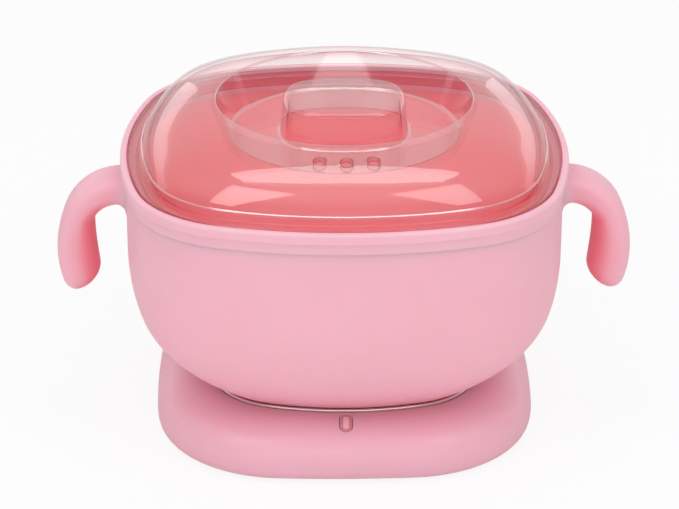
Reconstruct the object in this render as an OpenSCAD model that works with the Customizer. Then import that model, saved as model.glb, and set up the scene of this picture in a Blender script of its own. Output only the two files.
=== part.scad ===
// Tabletop wax warmer: a soft pot with two ear handles and a clear lid,
// standing on a low heating base. Millimetres, Z up, origin under the
// middle of the base on the surface that it stands on, front towards -Y.

/* [Plan shape] */
// Radius of each side's arc of the pot and lid, in half widths
pot_side_k = 2; // [1.6:0.1:4]
// Radius of each corner of the pot and lid, in half widths
pot_corner_k = 0.54; // [0.5:0.01:0.7]
// Radius of each side's arc of the base, in half widths
base_side_k = 6; // [3:0.5:8]
// Radius of each corner of the base, in half widths
base_corner_k = 0.67; // [0.6:0.01:0.75]
// How much squarer the pot is at its belly
belly_square = 0.2; // [0:0.05:0.3]
// Points around each lofted ring
segs = 72; // [48:24:96]

/* [Base] */
// Width of the base over its sides
base_w = 128.6; // [126:0.2:132]
// Height of the base housing without its feet
base_h = 16.8; // [16.4:0.2:21]
// Height above the cover's underside where the base is widest
base_mid_h = 5.8; // [4:0.2:8]
// How far the base draws in at its lower edge
base_tuck = 2.6; // [1:0.2:3]
// Width of the flat top of the base
base_top_w = 97.2; // [96.4:0.2:102]
// Wall thickness of the base housing
shell_wall = 2.2; // [1.8:0.1:2.6]
// Thickness of the bottom cover
cover_t = 2; // [1.8:0.1:2.4]
// How far the rubber feet stand below the cover
foot_h = 1.2; // [0.8:0.1:3]
// Radius of each rubber foot
foot_r = 5; // [3:0.5:6]

/* [Hot plate] */
// Width of the hot plate
plate_w = 94.4; // [93.6:0.2:94.8]
// Thickness of the hot plate
plate_t = 1.6; // [1.4:0.1:2.4]
// Height of the raised edge around the hot plate
bead_h = 0.8; // [0.4:0.1:1]
// Width of the raised edge
bead_w = 1; // [0.6:0.1:1.2]
// Thickness of the seal under the hot plate
seal_t = 1; // [0.6:0.1:1.4]
// Width of the ledge that carries the seal
ledge_w = 2.4; // [1.6:0.1:3]

/* [Pot] */
// Width of the pot over its upright wall
pot_w = 146.2; // [144:0.2:148]
// Height of the pot wall up to the rim
pot_h = 69.2; // [64:0.2:90]
// Height of the curved lower part of the wall
belly_h = 45.6; // [40:0.2:50]
// Width of the pot across its underside
floor_w = 90.2; // [84:0.2:90.4]
// Thickness of the soft pot wall
pot_wall = 3.6; // [3.2:0.1:4]
// Thickness of the soft pot floor over its metal plate
pot_floor = 3; // [2:0.2:5]
// Width of the metal plate in the pot's underside
contact_w = 76; // [60:1:80]
// Thickness of the metal plate in the pot's underside
contact_t = 1.5; // [1:0.1:2.5]

/* [Rim] */
// How far the rim band stands out from the pot wall
band_out = 0.8; // [0.6:0.1:2]
// How far the rim lip stands out from the band
lip_out = 0.8; // [0.6:0.1:2]
// Height of the whole rim ring
rim_h = 7.3; // [7:0.1:9]
// Height of the band under the lip
band_h = 3.7; // [3.2:0.1:4]
// Depth of the lid's seat below the rim's top
seat_depth = 2; // [1.6:0.1:2.4]
// Thickness of the pot's tongue in the rim's groove
tongue_t = 1.4; // [1.2:0.1:1.6]
// Height of that tongue
tongue_h = 2.8; // [2:0.1:3]

/* [Handles] */
// Width of each ear handle, front to back
ear_w = 18.4; // [15:0.2:20]
// Thickness of the ear's strap
ear_t = 10.5; // [8.5:0.1:11.5]
// How far the ear's grip bulges towards the pot
ear_bulge = 3; // [1:0.2:4]
// Straight run of the ear out from the pot
ear_run = 2.3; // [2:0.1:5]
// Radius of the ear's first, tight bend
ear_bend = 15.2; // [13:0.2:17]
// Radius of the ear's second, slow bend
ear_sweep = 31.5; // [29:0.5:40]
// Angle below level at which the second bend starts
ear_turn = 66; // [60:1:70]
// Angle below level at which the ear ends
ear_end = 116; // [105:1:120]
// Distance from the rim ring down to the middle of the ear's root
ear_below = 7.8; // [6.6:0.1:9]
// Width of the rigid tongue inside the ear
core_w = 9; // [6:0.5:10]
// Thickness of that tongue
core_t = 2.6; // [2:0.1:3]
// Length of that tongue beyond the pot wall
core_l = 9; // [6:0.5:10]
// Width of the rim's tab that carries the tongue
tab_w = 24; // [16:1:28]

/* [Lid] */
// Width of the lid over its flange
lid_w = 144; // [136:0.2:146]
// Width of the lid's dome at its foot
dome_w = 136; // [132:0.2:136.6]
// Height of the dome above the flange
dome_h = 17; // [14:0.2:24]
// Wall thickness of the lid
lid_t = 1.8; // [1.6:0.1:2.2]
// Depth of the skirt below the flange
skirt_h = 2.8; // [2:0.1:3.4]
// Radius of the round well in the lid's top
well_r = 42.5; // [38:0.5:46]
// Depth of that well
well_d = 12.4; // [9:0.2:13]
// How far the well's wall draws in towards its floor
well_draft = 4; // [2:0.5:6]
// Width of the grip block that stands in the well
grip_w = 40.6; // [34:0.2:46]
// How far the grip block widens towards its foot
grip_draft = 1.1; // [0.5:0.1:2]
// Radius of each steam vent
vent_r = 1.9; // [1:0.1:2.5]
// Distance between steam vents
vent_gap = 8.5; // [6:0.5:12]
// Distance of the steam vents from the lid's middle
vent_at = 52.4; // [48:0.2:56]

/* [Heater] */
// Radius of the heating element
heater_r = 24; // [18:0.5:24]
// Thickness of the heating element
heater_t = 1.8; // [1.4:0.1:2]
// Thickness of the insulating pad under it
pad_t = 1.4; // [1:0.1:1.6]
// Thickness of the steel strap that holds the heater up
strap_t = 1; // [0.8:0.1:1.2]
// Width of that strap
strap_w = 12; // [9:0.5:14]
// Distance of the strap's screws from the middle
strap_at = 29; // [28.5:0.5:31]
// Radius of the temperature sensor
sensor_r = 2.4; // [1.5:0.1:2.6]

/* [Controls] */
// Width of the power key
key_w = 4.1; // [3.6:0.1:5]
// Length of the power key, front to back
key_l = 8.8; // [7:0.2:9]
// Width of the darker ring around the key's face
key_ring_w = 1.1; // [0.6:0.05:1.3]
// How far the key goes in
key_travel = 0.5; // [0.3:0.1:0.6]
// Distance of the key's middle from the base's front
key_inset = 10.7; // [10.4:0.1:11.2]
// Width of the switch under the key
switch_w = 6; // [5.4:0.2:6.4]
// Height of that switch
switch_h = 3.4; // [3:0.1:3.6]
// Radius of the switch's plunger
plunger_r = 1.5; // [1:0.1:1.8]
// Length of the control board
board_l = 68; // [66:1:72]
// Width of the control board
board_w = 12; // [11.5:0.5:12.5]
// Thickness of the control board
board_t = 1.6; // [1:0.1:1.8]
// Height of the posts that carry the board
post_h = 1.8; // [1.4:0.1:2]

/* [Power inlet] */
// Width of the inlet's housing
inlet_w = 20; // [18:0.5:24]
// Height of the inlet's housing
inlet_h = 10; // [9.4:0.1:10.4]
// Depth of the inlet's housing
inlet_d = 14; // [12:0.5:14.5]
// Distance between the inlet's two pins
pin_gap = 8.6; // [7:0.1:9]
// Radius of each pin
pin_r = 1.2; // [0.8:0.1:1.4]
// Radius of each lobe of the inlet's mouth
mouth_r = 3.7; // [3:0.1:4]

/* [Fasteners] */
// Shank radius of the screws
screw_r = 1.4; // [1.2:0.05:1.45]
// Head radius of the screws
head_r = 2.7; // [2.4:0.1:2.9]
// Head height of the screws
head_h = 1.1; // [0.8:0.1:1.2]

/* [Fits] */
// Gap between pieces that rest on or pass each other
rest_gap = 0.2; // [0.1:0.05:0.3]
// Gap around pieces that are fixed in a pocket
fix_gap = 0.15; // [0.1:0.05:0.2]
// Gap between the lid's skirt and the rim
lid_gap = 0.6; // [0.4:0.1:0.7]
// Least gap between the pot's underside and the hot plate's raised edge
foot_gap = 0.7; // [0.5:0.1:0.9]
// Gap between the lid's flange and the rim around it
seat_gap = 0.5; // [0.2:0.05:0.7]
// Width of the shelf in the rim that the lid's flange rests on
seat_land = 3; // [2:0.1:3.2]
// Least width of the rim's edge around the lid's seat
rim_edge = 2.2; // [1.6:0.1:2.5]

/* [Hidden] */
$fn = 48;
eps = 0.01;

// Colours of the finishes
pink = [0.94, 0.68, 0.73];
rose = [0.74, 0.45, 0.50];
metal = [0.80, 0.78, 0.77];
board_green = [0.10, 0.35, 0.22];
dark = [0.15, 0.15, 0.16];

// Heights above the table
z_cover = foot_h;
z_floor = z_cover + cover_t;
z_shell = z_cover + base_h;
z_mid = z_cover + base_mid_h;
z_plate = z_shell;
z_plate_low = z_plate - plate_t;
z_ledge = z_plate_low - seal_t;
bead_in = plate_w / 2 - bead_w;
// A pot that is too wide to stand inside the raised edge stands on it
z_pot = z_plate + rest_gap + (floor_w / 2 + foot_gap > bead_in ? bead_h : 0);
z_pot_floor = z_pot + contact_t + pot_floor;
z_belly = z_pot + belly_h;
z_wall = z_pot + pot_h;
z_rim = z_wall + rim_h;
z_seat = z_rim - seat_depth;
z_flange = z_seat + rest_gap;
z_dome = z_flange + lid_t;
z_well_rim = z_dome + dome_h;
z_well = z_well_rim - well_d;
z_ear = z_wall - ear_below;

// ---- plan shapes: four side arcs joined by four corner arcs ----

pot_shape = [pot_side_k, pot_corner_k];
base_shape = [base_side_k, base_corner_k];

// Middle of a side arc and of a corner arc, for a half width of 1
function side_mid(s) = 1 - s[0];
function corner_mid(s) = (side_mid(s) + sqrt(2 * pow(s[0] - s[1], 2) - pow(side_mid(s), 2))) / 2;
// Direction from a side arc's middle to where it meets the corner arc
function join_angle(s) = atan2(corner_mid(s) - side_mid(s), corner_mid(s));

// Distance from the middle to the outline in direction a, for a half width of 1
function side_reach(s, a) = sin(a) * side_mid(s)
    + sqrt(pow(sin(a) * side_mid(s), 2) - pow(side_mid(s), 2) + pow(s[0], 2));
function corner_reach(s, a) = let (c = corner_mid(s), m = (cos(a) + sin(a)) * c)
    m + sqrt(m * m - 2 * c * c + pow(s[1], 2));
function fold(a) = let (q = a - 90 * floor(a / 90)) q < 45 ? 90 - q : q;
function reach(s, a) = let (q = fold(a), r = side_reach(s, q))
    atan2(r * sin(q) - side_mid(s), r * cos(q)) < join_angle(s) ? corner_reach(s, q) : r;
pot_reach = [for (i = [0:segs - 1]) reach(pot_shape, 360 * i / segs)];
base_reach = [for (i = [0:segs - 1]) reach(base_shape, 360 * i / segs)];

// One ring of points: half width w, height z, how square it is (0 is round),
// and its depth from front to back against its width
function ring(w, z, square = 1, depth = 1, far = pot_reach) = [for (i = [0:segs - 1])
    let (a = 360 * i / segs, r = w * (1 + square * (far[i] - 1)))
    [r * cos(a), depth * r * sin(a), z]];

// Rings from a list of [half width, height, squareness, depth]
function rings(profile, far = pot_reach) = [for (p = profile)
    ring(p[0], p[1], len(p) > 2 ? p[2] : 1, len(p) > 3 ? p[3] : 1, far)];

// Superelliptic quarter: from [w0 + dw, z0] to [w0, z0 + dz] as t goes from 0 to 90
function quarter(w0, dw, z0, dz, p, steps, from = 0, to = 90, depth = 1) =
    [for (i = [0:steps]) let (t = from + (to - from) * i / steps)
    [w0 + dw * pow(cos(t), 2 / p), z0 + dz * pow(sin(t), 2 / p), 1, depth]];

// Closed skin over a list of rings. closed joins the last ring to the first.
module skin(loops, closed = false) {
    n = len(loops[0]);
    m = len(loops);
    sides = [for (j = [0:m - (closed ? 1 : 2)], i = [0:n - 1])
        let (k = (j + 1) % m, h = (i + 1) % n)
        each [[j * n + i, k * n + i, k * n + h], [j * n + i, k * n + h, j * n + h]]];
    caps = closed ? [] : [[for (i = [0:n - 1]) i], [for (i = [n - 1:-1:0]) (m - 1) * n + i]];
    polyhedron(points = [for (l = loops) each l], faces = concat(sides, caps));
}

// The same outline filled in, for flat plates
module outline(w, s = pot_shape) {
    polygon([for (i = [0:segs - 1]) let (a = 360 * i / segs, r = w * reach(s, a)) [r * cos(a), r * sin(a)]]);
}

module slab(w, z, t, s = pot_shape) {
    translate([0, 0, z]) linear_extrude(t) outline(w, s);
}

module tube_slab(w_out, w_in, z, t) {
    difference() {
        slab(w_out, z, t);
        slab(w_in, z - eps, t + 2 * eps);
    }
}

module disc(r, z, h) {
    translate([0, 0, z]) cylinder(r = r, h = h);
}

module block(size, at) {
    translate([at[0] - size[0] / 2, at[1] - size[1] / 2, at[2]]) cube(size);
}

// Copies at [x, y], [-x, y], [-x, -y] and [x, -y]
module at_corners(x, y) {
    for (sx = [-1, 1], sy = [-1, 1]) translate([sx * x, sy * y, 0]) children();
}

// A screw pointing up, with the underside of its head at z
module screw(z, length) {
    disc(head_r, z - head_h, head_h);
    disc(screw_r, z - eps, length + eps);
}

// A wire along a list of points, as a thin tube
function unit(v) = v / norm(v);
function tangent(p, i) = unit(p[min(i + 1, len(p) - 1)] - p[max(i - 1, 0)]);
module wire(p, r) {
    sides = 8;
    skin([for (i = [0:len(p) - 1])
        let (t = tangent(p, i), u = unit(cross(abs(t[2]) > 0.9 ? [0, 1, 0] : [0, 0, 1], t)), v = cross(t, u))
        [for (k = [0:sides - 1]) p[i] + r * (cos(360 * k / sides) * u + sin(360 * k / sides) * v)]]);
}

// Catmull-Rom curve through a route's points
function between(a, b, c, d, t) = 0.5 * (2 * b + (c - a) * t
    + (2 * a - 5 * b + 4 * c - d) * t * t + (3 * b - a - 3 * c + d) * t * t * t);
function smooth_route(p, steps = 4) = [for (i = [0:len(p) - 2], s = [0:steps - 1])
    between(p[max(i - 1, 0)], p[i], p[i + 1], p[min(i + 2, len(p) - 1)], s / steps),
    p[len(p) - 1]];

// ---- base ----

opening_w = plate_w / 2 + 2 * rest_gap;
cavity_w = base_w / 2 - shell_wall;
ledge_in = opening_w - ledge_w;
ledge_low = z_ledge - shell_wall;
shoulder_p = 2.5;
top_land = 0.6;
top_w = max(base_top_w / 2, opening_w + top_land);
shoulder_w = base_w / 2 - top_w;
post_r = 3.6;
post_in = 6;
post_at = cavity_w * reach(base_shape, 45) / sqrt(2) - post_in;
post_hole = 9;
lug_at = 29;
lug_r = 4;
lug_t = 2;
boss_r = 3.4;
foot_x = 30;
foot_in = 18.3;
foot_y = base_w / 2 - foot_in;
foot_inset = 1;
sink = head_h + rest_gap;
key_at = base_w / 2 - key_inset;
board_back = 3.6;
board_at = key_at - board_back;
switch_back = 1;
switch_at = key_at - switch_back;

base_outer = concat(
    quarter(base_w / 2 - base_tuck, base_tuck, z_mid, z_cover - z_mid, 2, 4, 90, 0),
    quarter(top_w, shoulder_w, z_mid, z_shell - z_mid, shoulder_p, 8, 8, 90));
base_inner = concat(
    quarter(top_w, cavity_w - top_w, z_mid,
        z_shell - shell_wall - z_mid, shoulder_p, 5, 84, 8),
    [[cavity_w, z_mid], [cavity_w - base_tuck / 2, z_cover]]);
base_opening = [[opening_w, z_shell], [opening_w, z_ledge], [ledge_in, z_ledge],
    [ledge_in, ledge_low], [opening_w + ledge_w / 2, ledge_low],
    [opening_w + ledge_w / 2, z_shell - shell_wall]];

module key_oval(grow, z, h) {
    w = key_w + 2 * grow;
    l = key_l + 2 * grow;
    translate([0, -key_at, z]) linear_extrude(h) {
        for (s = [-1, 1]) translate([0, s * (l - w) / 2]) circle(d = w);
        square([w, l - w], center = true);
    }
}

// The space under the base's front shoulder, as wide as the key needs
module under_shoulder() {
    curve = quarter(top_w, shoulder_w, z_mid, z_shell - z_mid, shoulder_p, 24, 30, 90);
    rotate([90, 0, 90]) translate([0, 0, -key_w]) linear_extrude(2 * key_w)
        polygon(concat([for (p = curve) [-p[0], p[1]]],
            [[-top_w + key_w, z_shell], [-top_w + key_w, 0], [-curve[0][0], 0]]));
}

inlet_recess = 1.3;
inlet_y = base_w / 2 - inlet_recess;
inlet_z = z_floor + rest_gap + inlet_h / 2;

// The inlet's outside, larger by a gap all round and longer by out
module inlet_block(grow, out) {
    translate([-inlet_w / 2 - grow, inlet_y - inlet_d - grow, inlet_z - inlet_h / 2 - grow])
        cube([inlet_w + 2 * grow, inlet_d + grow + out, inlet_h + 2 * grow]);
}

module base_shell() {
    color(pink) difference() {
        union() {
            skin(concat(rings(base_outer, base_reach), rings(base_opening), rings(base_inner, base_reach)),
                closed = true);
            at_corners(post_at, post_at)
                disc(post_r, z_floor + rest_gap, z_shell - 1.4 * shell_wall - z_floor);
            for (a = [45:90:315]) rotate(a) {
                translate([lug_at * sqrt(2), -lug_r, ledge_low])
                    cube([ledge_in * reach(pot_shape, 45) - lug_at * sqrt(2) + 1, 2 * lug_r, lug_t]);
                translate([lug_at * sqrt(2), 0, ledge_low]) cylinder(r = lug_r, h = lug_t);
            }
        }
        at_corners(post_at, post_at) disc(screw_r, z_floor, post_hole);
        at_corners(lug_at, lug_at) disc(screw_r + rest_gap, ledge_low - 1, lug_t + 2);
        key_oval(rest_gap, z_floor, base_h);
        inlet_block(fix_gap, inlet_recess + 1);
    }
}

module base_cover() {
    color(pink) difference() {
        union() {
            slab(cavity_w - base_tuck / 2 - rest_gap, z_cover, cover_t, base_shape);
            for (x = [-board_post_x, board_post_x]) translate([x, -board_at, 0])
                disc(board_post_r, z_cover + eps, cover_t + post_h - eps);
        }
        at_corners(foot_x, foot_y) disc(foot_r + fix_gap, z_cover - eps, foot_inset + eps);
        at_corners(post_at, post_at) {
            disc(head_r + rest_gap, z_cover - eps, sink + eps);
            disc(screw_r + rest_gap, z_cover, cover_t + 1);
        }
        for (x = [-board_post_x, board_post_x]) translate([x, -board_at, 0])
            disc(screw_r, z_board - board_screw_l, board_screw_l + 1);
    }
}

module feet() {
    color(dark) at_corners(foot_x, foot_y) rotate_extrude()
        polygon([[0, 0], [foot_r - 0.6, 0], [foot_r, 0.6], [foot_r, foot_h + foot_inset], [0, foot_h + foot_inset]]);
}

module cover_screws() {
    color(metal) at_corners(post_at, post_at) screw(z_cover + sink, post_hole - 1);
}

module plate_seal() {
    color(dark) tube_slab(opening_w - rest_gap, ledge_in + fix_gap, z_ledge, seal_t);
}

module heat_plate() {
    color(metal) difference() {
        union() {
            slab(plate_w / 2, z_plate_low, plate_t);
            tube_slab(plate_w / 2, bead_in, z_plate - eps, bead_h + eps);
            at_corners(lug_at, lug_at)
                disc(boss_r, ledge_low + lug_t, z_plate_low - ledge_low - lug_t + eps);
            for (x = [-strap_at, strap_at]) translate([x, 0, 0])
                disc(boss_r, z_strap, z_plate_low - z_strap + eps);
        }
        at_corners(lug_at, lug_at) disc(screw_r, ledge_low, plate_screw_l);
        for (x = [-strap_at, strap_at]) translate([x, 0, 0]) disc(screw_r, z_strap - eps, strap_screw_l);
    }
}

module plate_screws() {
    color(metal) at_corners(lug_at, lug_at) screw(ledge_low, plate_screw_l - 0.2);
}

// ---- heater ----

z_heater = z_plate_low - heater_t;
z_pad = z_heater - pad_t;
z_strap = z_pad;
z_strap_low = z_strap - strap_t;
plate_screw_l = z_plate_low - ledge_low + 0.6;
strap_screw_l = z_plate_low - z_strap + 0.4;
sensor_l = z_plate_low - z_strap_low + 1.8;
cutout = [8, 4, 3.4];
cutout_x = 12;

module heater_hole() {
    disc(sensor_r + fix_gap, z_strap_low - 1, z_plate_low - z_strap_low + 2);
}

module heater_disc() {
    color([0.62, 0.56, 0.45]) difference() {
        disc(heater_r, z_heater, heater_t);
        heater_hole();
    }
}

module insulation_pad() {
    color([0.92, 0.91, 0.87]) difference() {
        disc(heater_r - 4, z_pad, pad_t);
        heater_hole();
    }
}

module heater_strap() {
    color(metal) difference() {
        union() {
            block([2 * strap_at, strap_w, strap_t], [0, 0, z_strap_low]);
            for (x = [-strap_at, strap_at]) translate([x, 0, 0]) disc(strap_w / 2, z_strap_low, strap_t);
        }
        for (x = [-strap_at, strap_at]) translate([x, 0, 0])
            disc(screw_r + rest_gap, z_strap_low - 1, strap_t + 2);
        heater_hole();
    }
}

module strap_screws() {
    color(metal) for (x = [-strap_at, strap_at]) translate([x, 0, 0])
        screw(z_strap_low, strap_screw_l + strap_t - 0.2);
}

module thermal_cutout() {
    color([0.85, 0.83, 0.78]) block(cutout, [cutout_x, 0, z_strap_low - cutout[2]]);
}

module temperature_sensor() {
    color(dark) disc(sensor_r, z_plate_low - sensor_l, sensor_l);
}

// ---- controls ----

board_post_x = 30;
board_post_r = 2.6;
board_screw_l = 2.2;
parts_front = 0.8;
z_board = z_floor + post_h;
z_parts = z_board + board_t;
relay = [14, 7.5, 6];
relay_x = -18;
can = [12, 6, 5.6];
can_x = 18;
chip = [5, 4, 1.4];
chip_x = 8.5;
light = [2.4, 1.6, 0.8];
z_ring = z_shell - 3.4;
z_flange_key = ledge_low - 0.6;
key_flange_t = 1;
key_flange = 0.8;
z_switch = z_parts + switch_h;
plunger_in = 0.9;

module control_board() {
    color(board_green) difference() {
        block([board_l, board_w, board_t], [0, -board_at, z_board]);
        for (x = [-board_post_x, board_post_x]) translate([x, -board_at, 0])
            disc(screw_r + rest_gap, z_board - 1, board_t + 2);
    }
}

module board_screws() {
    color(metal) for (x = [-board_post_x, board_post_x]) translate([x, -board_at, z_parts])
        rotate([180, 0, 0]) screw(0, board_t + board_screw_l - 0.2);
}

module relay() {
    color([0.16, 0.3, 0.62]) block(relay, [relay_x, -board_at - parts_front, z_parts]);
}

module capacitor() {
    color([0.75, 0.6, 0.2]) block(can, [can_x, -board_at - parts_front, z_parts]);
}

module board_chips() {
    color(dark) for (s = [-1, 1]) block(chip, [s * chip_x, -board_at - 2, z_parts]);
}

module key_light() {
    color("white") block(light, [0, -board_at + 3.6, z_parts]);
}

module tact_switch() {
    color(dark) difference() {
        block([switch_w, switch_w, switch_h], [0, -switch_at, z_parts]);
        translate([0, -switch_at, 0])
            disc(plunger_r + rest_gap, z_switch - plunger_in - key_travel - rest_gap, switch_h);
    }
}

module tact_plunger() {
    color(rose) translate([0, -switch_at, 0])
        disc(plunger_r, z_switch - plunger_in, z_flange_key - key_flange_t - z_switch + plunger_in);
}

module key_cap() {
    color(pink) {
        intersection() {
            under_shoulder();
            key_oval(-key_ring_w, z_ring - eps, 2 * key_w);
        }
        key_oval(0, z_flange_key - eps, z_ring - z_flange_key + eps);
        key_oval(key_flange, z_flange_key - key_flange_t, key_flange_t);
    }
}

module key_ring() {
    color(rose) difference() {
        intersection() {
            under_shoulder();
            key_oval(0, z_ring, 2 * key_w);
        }
        key_oval(-key_ring_w, z_ring - 1, 2 * key_w);
    }
}

// ---- power inlet and wires ----

mouth_depth = inlet_d - 4;
pin_out = 8;
tab_l = 4;

module inlet_mouth() {
    translate([0, inlet_y + 1, inlet_z]) rotate([90, 0, 0]) linear_extrude(mouth_depth + 1) {
        for (s = [-1, 1]) translate([s * pin_gap / 2, 0]) circle(r = mouth_r);
        square([pin_gap, 2 * mouth_r - 1.2], center = true);
    }
}

module inlet_socket() {
    color(dark) difference() {
        inlet_block(0, 0);
        inlet_mouth();
        for (s = [-1, 1]) translate([s * pin_gap / 2, inlet_y, inlet_z])
            rotate([90, 0, 0]) cylinder(r = pin_r, h = inlet_d + 1);
    }
}

module inlet_pins() {
    color(metal) for (s = [-1, 1]) translate([s * pin_gap / 2, inlet_y, inlet_z]) rotate([90, 0, 0])
        translate([0, 0, mouth_depth - pin_out]) cylinder(r = pin_r, h = pin_out + 4 + tab_l);
}

wire_r = 0.8;
y_tab = inlet_y - inlet_d - tab_l;
y_pads = -board_at + board_w / 2 - 1.4;
z_lead = z_parts + 2;
mains_routes = [
    [[pin_gap / 2, y_tab, inlet_z], [8, y_tab - 4, 8], [34, 26, 7], [40, 0, 7], [34, -32, 9],
    [25, y_pads, z_lead], [25, y_pads, z_parts]],
    [[-pin_gap / 2, y_tab, inlet_z], [0, y_tab - 7, 8], [30, 20, 7], [36, 0, 7], [30, -32, 9],
    [21, y_pads, z_lead], [21, y_pads, z_parts]]];
heater_routes = [
    [[cutout_x + cutout[0] / 2, 0, 10], [20, -2, 10], [20, -10, 9], [17, -30, 9],
    [13, y_pads, z_lead], [13, y_pads, z_parts]],
    [[cutout_x - cutout[0] / 2, 0, 10], [6, -4, 9.4], [6, -14, 10], [6, -22.4, z_heater - 2],
    [6, -22.4, z_heater]],
    [[-6, -22.4, z_heater], [-6, -22.4, z_heater - 2], [-7, -28, 10], [-9, -38, 9],
    [-12, y_pads, z_lead], [-12, y_pads, z_parts]]];
sensor_routes = [for (s = [-1, 1])
    [[s, 0, z_plate_low - sensor_l], [s, 0, z_plate_low - sensor_l - 1.2], [s, -6, 8], [1.6 * s, -24, 8],
    [3 * s, -38, 8.6], [4 * s, y_pads, z_lead], [4 * s, y_pads, z_parts]]];

module mains_wires() {
    color([0.35, 0.22, 0.15]) for (r = mains_routes) wire(smooth_route(r), wire_r);
}

module heater_wires() {
    color([0.85, 0.82, 0.78]) for (r = heater_routes) wire(smooth_route(r), wire_r);
}

module sensor_wires() {
    color([0.75, 0.2, 0.2]) for (r = sensor_routes) wire(smooth_route(r), wire_r / 2);
}

// ---- pot ----

flange_land = 1.5;
wall_out = pot_w / 2;
wall_in = wall_out - pot_wall;
lid_half = max(lid_w / 2, dome_w / 2 + flange_land);
seat_w = lid_half + seat_gap;
rim_in = min(wall_in, seat_w - seat_land);
tongue_mid = wall_out - pot_wall / 2;
groove_w = tongue_t / 2 + fix_gap;

belly_p = 2.3;
// Half width of a wall whose belly curves in from w to w_low over the height h below z_top
function belly(w, w_low, z_top, h, z) = w - (w - w_low) * pow((z_top - z) / h, belly_p);
function squarer(z) = 1 + belly_square * sin(180 * (z - z_pot) / (z_wall - z_pot));
floor_in = belly(wall_out, floor_w / 2, z_belly, belly_h, z_pot_floor) - pot_wall - 1;

pot_outer = concat(
    [[floor_w / 2 - 0.5, z_pot]],
    [for (i = [0:14]) let (z = z_pot + 0.3 + (z_belly - z_pot - 0.3) * pow(i / 14, 1.3))
        [belly(wall_out, floor_w / 2, z_belly, belly_h, z), z, squarer(z)]],
    [[wall_out, (z_belly + z_wall) / 2, squarer((z_belly + z_wall) / 2)], [wall_out, z_wall]]);
pot_tongue = [[tongue_mid + tongue_t / 2, z_wall], [tongue_mid + tongue_t / 2, z_wall + tongue_h],
    [tongue_mid - tongue_t / 2, z_wall + tongue_h], [tongue_mid - tongue_t / 2, z_wall]];
pot_inner = concat(
    [[wall_in, z_wall], [wall_in, (z_belly + z_wall) / 2, squarer((z_belly + z_wall) / 2)]],
    [for (i = [0:10]) let (z = z_belly - (z_belly - z_pot_floor - 1) * (1 - pow(1 - i / 10, 1.3)))
        [belly(wall_in, floor_in, z_belly, z_belly - z_pot_floor, z), z, squarer(z)]],
    [[floor_in - 3, z_pot_floor]]);

// The tabs and tongues of the rim, grown on every side
module ear_cores(grow) {
    for (s = [-1, 1]) scale([s, 1, 1]) {
        translate([tongue_mid - tongue_t / 2 - grow, -tab_w / 2 - grow, z_ear - core_t / 2 - 1 - grow])
            cube([tongue_t + 2 * grow, tab_w + 2 * grow, z_wall - z_ear + core_t / 2 + 1 + tongue_h + grow]);
        translate([tongue_mid - grow, -core_w / 2 - grow, z_ear - core_t / 2 - grow])
            cube([pot_wall / 2 + core_l + 2 * grow, core_w + 2 * grow, core_t + 2 * grow]);
    }
}

module pot_bowl() {
    color(pink) difference() {
        skin(rings(concat(pot_outer, pot_tongue, pot_inner)));
        slab(contact_w / 2 + fix_gap, z_pot - 1, contact_t + 1);
        ear_cores(fix_gap);
    }
}

module contact_plate() {
    color(metal) slab(contact_w / 2, z_pot, contact_t);
}

band_w = wall_out + band_out;
lip_w = max(band_w + lip_out, seat_w + rim_edge);
z_band = z_wall + band_h;
rim_round = 1;
rim_profile = concat(
    [[tongue_mid + groove_w, z_wall]],
    quarter(band_w - rim_round / 2, rim_round / 2, z_wall + rim_round / 2, -rim_round / 2, 2, 2, 90, 0),
    quarter(band_w - rim_round / 2, rim_round / 2, z_band - rim_round / 2, rim_round / 2, 2, 2, 0, 90),
    quarter(lip_w - rim_round / 2, rim_round / 2, z_band + rim_round / 2, -rim_round / 2, 2, 2, 90, 0),
    quarter(lip_w - rim_round, rim_round, z_rim - rim_round, rim_round, 2, 3, 0, 90),
    [[seat_w + 0.3, z_rim], [seat_w, z_rim - 0.3], [seat_w, z_seat], [rim_in, z_seat], [rim_in, z_wall],
    [tongue_mid - groove_w, z_wall], [tongue_mid - groove_w, z_wall + tongue_h + fix_gap],
    [tongue_mid + groove_w, z_wall + tongue_h + fix_gap]]);

module rim_ring() {
    color(pink) {
        skin(rings(rim_profile), closed = true);
        ear_cores(0);
    }
}

// ---- handles ----

// The ear's middle line, at an angle a below level
function ear_line(a) = let (b = min(a, ear_turn))
    [wall_out + ear_run + ear_bend * sin(b) + ear_sweep * (sin(a) - sin(b)),
    z_ear - ear_bend * (1 - cos(b)) - ear_sweep * (cos(b) - cos(a))];

// One section of the ear: m is its middle, a its angle below level, in and out
// its thickness towards and away from the pot, w its width
function ear_section(m, a, in, out, w) = [for (i = [23:-1:0])
    let (t = 15 * i, c = cos(t), s = sin(t), p = s > 0 ? 3.2 : 2.4,
        y = w / 2 * sign(c) * pow(abs(c), 2 / p),
        n = (s > 0 ? out : in) * sign(s) * pow(abs(s), 2 / p))
    [m[0] + n * sin(a), y, m[1] + n * cos(a)]];

ear_half = ear_t / 2;
function grip_bulge(a) = a < ear_turn ? 0
    : ear_bulge * pow(sin(180 * (a - ear_turn) / (ear_end + 10 - ear_turn)), 0.8);
// How much is left of a section near the ear's rounded end
function ear_left(a) = let (d = (ear_end - a) / 10) d > 1 ? 1 : sqrt(1 - pow(1 - d, 2));
ear_angles = concat([for (a = [0:ear_turn / 7:ear_turn + 0.1]) a],
    [for (i = [1:12]) let (t = 1 - pow(1 - i / 12.5, 1.4)) ear_turn + (ear_end - ear_turn) * t]);
ear_loops = concat([ear_section([wall_out, z_ear], 0, ear_half, ear_half, ear_w)],
    [for (a = ear_angles) let (q = ear_left(a), in = ear_half + grip_bulge(a), mid = (ear_half - in) / 2,
        h = q * (ear_half + in) / 2, m = ear_line(a))
        ear_section(m, a, h - mid, h + mid, ear_w * (0.35 + 0.65 * q))]);

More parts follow.
